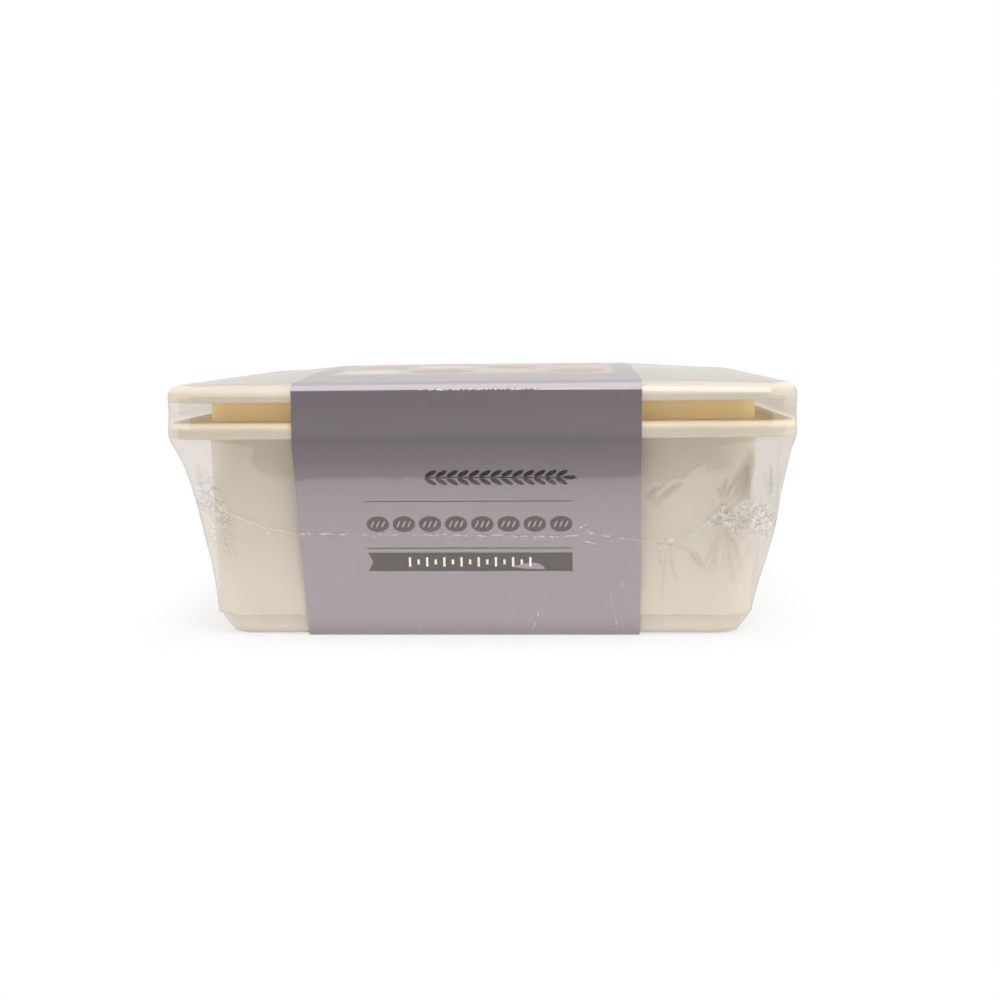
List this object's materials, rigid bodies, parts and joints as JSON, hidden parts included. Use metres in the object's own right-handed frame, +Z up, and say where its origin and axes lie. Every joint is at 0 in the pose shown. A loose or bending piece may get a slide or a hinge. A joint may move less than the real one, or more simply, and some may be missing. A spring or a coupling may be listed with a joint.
{
  "type": "dough proofing container",
  "caption": "Square plastic dough proofing tub with a flanged rim and plug-in lid, wrapped in a card sleeve and clear shrink film that is slit along the sleeve so the lid lifts off.",
  "frame": {"origin": "centre of the tub's base, on the surface it stands on", "axes": "+Z up out of the tub, -Y towards the front of the pack, +X to the right of the front"},
  "size_m": [0.2722, 0.2722, 0.1157],
  "materials": {
    "cream_polypropylene": "satin injection-moulded polypropylene, cream",
    "printed_card": "mauve-grey printed card, semi-matt",
    "clear_film": "clear glossy shrink film"
  },
  "bodies": {
    "tub": {"tub": "cream_polypropylene", "film_left": "clear_film", "film_right": "clear_film"},
    "lid": {"lid": "cream_polypropylene", "sleeve_top": "printed_card", "film_cap": "clear_film"},
    "front_flap": {"sleeve_front": "printed_card", "film_front": "clear_film"},
    "back_flap": {"sleeve_back": "printed_card", "film_back": "clear_film"}
  },
  "joints": [
    {"name": "lid_lift", "type": "slide", "parent": "tub", "child": "lid", "axis": [0, 0, 1], "range_m": [0, 0.1]},
    {"name": "front_flap_fold", "type": "hinge", "parent": "lid", "child": "front_flap", "pos_m": [0, -0.13605, 0.1081], "axis": [-1, 0, 0], "range_deg": [0, 65]},
    {"name": "back_flap_fold", "type": "hinge", "parent": "lid", "child": "back_flap", "pos_m": [0, 0.13605, 0.1081], "axis": [1, 0, 0], "range_deg": [0, 65]}
  ],
  "couplings": [
    {"joint": "front_flap_fold", "follows": "lid_lift", "rad_per_m": 11},
    {"joint": "back_flap_fold", "follows": "lid_lift", "rad_per_m": 11}
  ]
}
